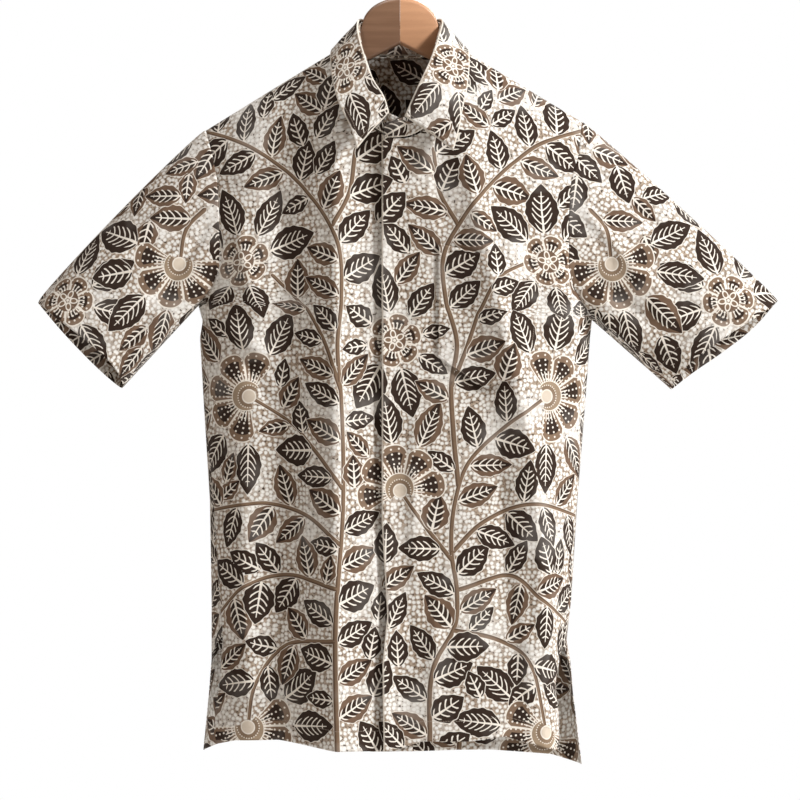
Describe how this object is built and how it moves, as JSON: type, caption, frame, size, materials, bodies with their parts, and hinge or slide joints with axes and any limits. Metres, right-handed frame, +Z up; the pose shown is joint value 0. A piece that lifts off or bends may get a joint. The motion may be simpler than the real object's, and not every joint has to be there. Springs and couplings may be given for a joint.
{
  "type": "batik shirt on a hanger",
  "caption": "Short-sleeved batik shirt with a pointed collar, covered placket and chest pocket, hung on a contoured wooden hanger with a metal hook.",
  "frame": {"origin": "inner crown of the hanger's hook, where it rests on a rail", "axes": "+Z up, the shirt's front faces -Y, +X is towards the wearer's left sleeve"},
  "size_m": [0.8163, 0.1388, 0.9139],
  "materials": {
    "batik_cotton": "matte",
    "beech": "satin lacquer",
    "hook_steel": "polished"
  },
  "bodies": {
    "root": {"front_right": "batik_cotton", "front_left": "batik_cotton", "back": "batik_cotton", "sleeve_right": "batik_cotton", "sleeve_left": "batik_cotton", "collar": "batik_cotton", "collar_stand": "batik_cotton", "pocket": "batik_cotton", "hanger_right": "beech", "hanger_left": "beech", "hook": "hook_steel"}
  },
  "joints": []
}
